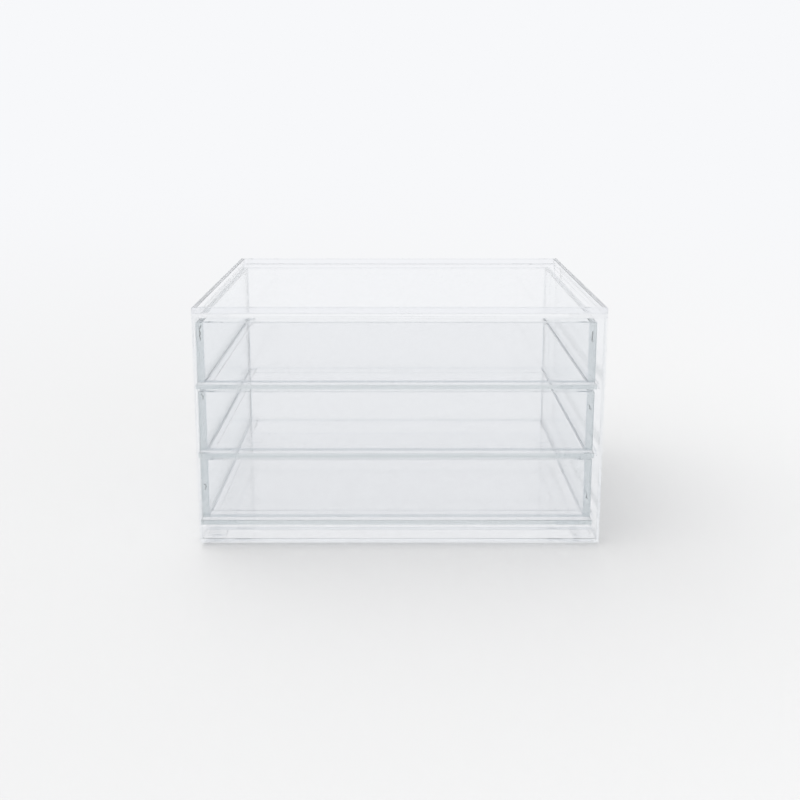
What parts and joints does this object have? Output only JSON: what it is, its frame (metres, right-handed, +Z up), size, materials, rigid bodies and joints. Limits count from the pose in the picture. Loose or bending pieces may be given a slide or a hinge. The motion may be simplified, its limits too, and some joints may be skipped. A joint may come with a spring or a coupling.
{
  "type": "drawer case",
  "caption": "Clear acrylic tabletop case whose shallow pull-out drawers, opened by a finger lip, hold make-up, brushes and jewellery.",
  "frame": {"origin": "on the table, under the middle of the whole box", "axes": "+Z up, drawers open towards -Y, +X to the right as seen from the front"},
  "size_m": [0.255, 0.17, 0.1565],
  "materials": {
    "case_acrylic": "polished clear",
    "drawer_acrylic": "polished clear",
    "runner_acrylic": "polished clear",
    "foot_acrylic": "satin clear"
  },
  "bodies": {
    "case": {"bottom_panel": "case_acrylic", "left_wall": "case_acrylic", "right_wall": "case_acrylic", "back_panel": "case_acrylic", "top_panel": "case_acrylic", "front_rim_strip": "case_acrylic", "back_rim_strip": "case_acrylic", "left_rim_strip": "case_acrylic", "right_rim_strip": "case_acrylic", "front_rail": "runner_acrylic", "top_left_runner": "runner_acrylic", "top_right_runner": "runner_acrylic", "middle_left_runner": "runner_acrylic", "middle_right_runner": "runner_acrylic", "bottom_left_runner": "runner_acrylic", "bottom_right_runner": "runner_acrylic", "front_left_foot": "foot_acrylic", "front_right_foot": "foot_acrylic", "back_left_foot": "foot_acrylic", "back_right_foot": "foot_acrylic"},
    "top_drawer": {"top_drawer_front": "drawer_acrylic", "top_drawer_floor": "drawer_acrylic", "top_drawer_left_side": "drawer_acrylic", "top_drawer_right_side": "drawer_acrylic", "top_drawer_back": "drawer_acrylic"},
    "middle_drawer": {"middle_drawer_front": "drawer_acrylic", "middle_drawer_floor": "drawer_acrylic", "middle_drawer_left_side": "drawer_acrylic", "middle_drawer_right_side": "drawer_acrylic", "middle_drawer_back": "drawer_acrylic"},
    "bottom_drawer": {"bottom_drawer_front": "drawer_acrylic", "bottom_drawer_floor": "drawer_acrylic", "bottom_drawer_left_side": "drawer_acrylic", "bottom_drawer_right_side": "drawer_acrylic", "bottom_drawer_back": "drawer_acrylic"}
  },
  "joints": [
    {"name": "top_drawer_slide", "type": "slide", "parent": "case", "child": "top_drawer", "axis": [0, -1, 0], "range_m": [0, 0.13]},
    {"name": "middle_drawer_slide", "type": "slide", "parent": "case", "child": "middle_drawer", "axis": [0, -1, 0], "range_m": [0, 0.13]},
    {"name": "bottom_drawer_slide", "type": "slide", "parent": "case", "child": "bottom_drawer", "axis": [0, -1, 0], "range_m": [0, 0.13]}
  ]
}
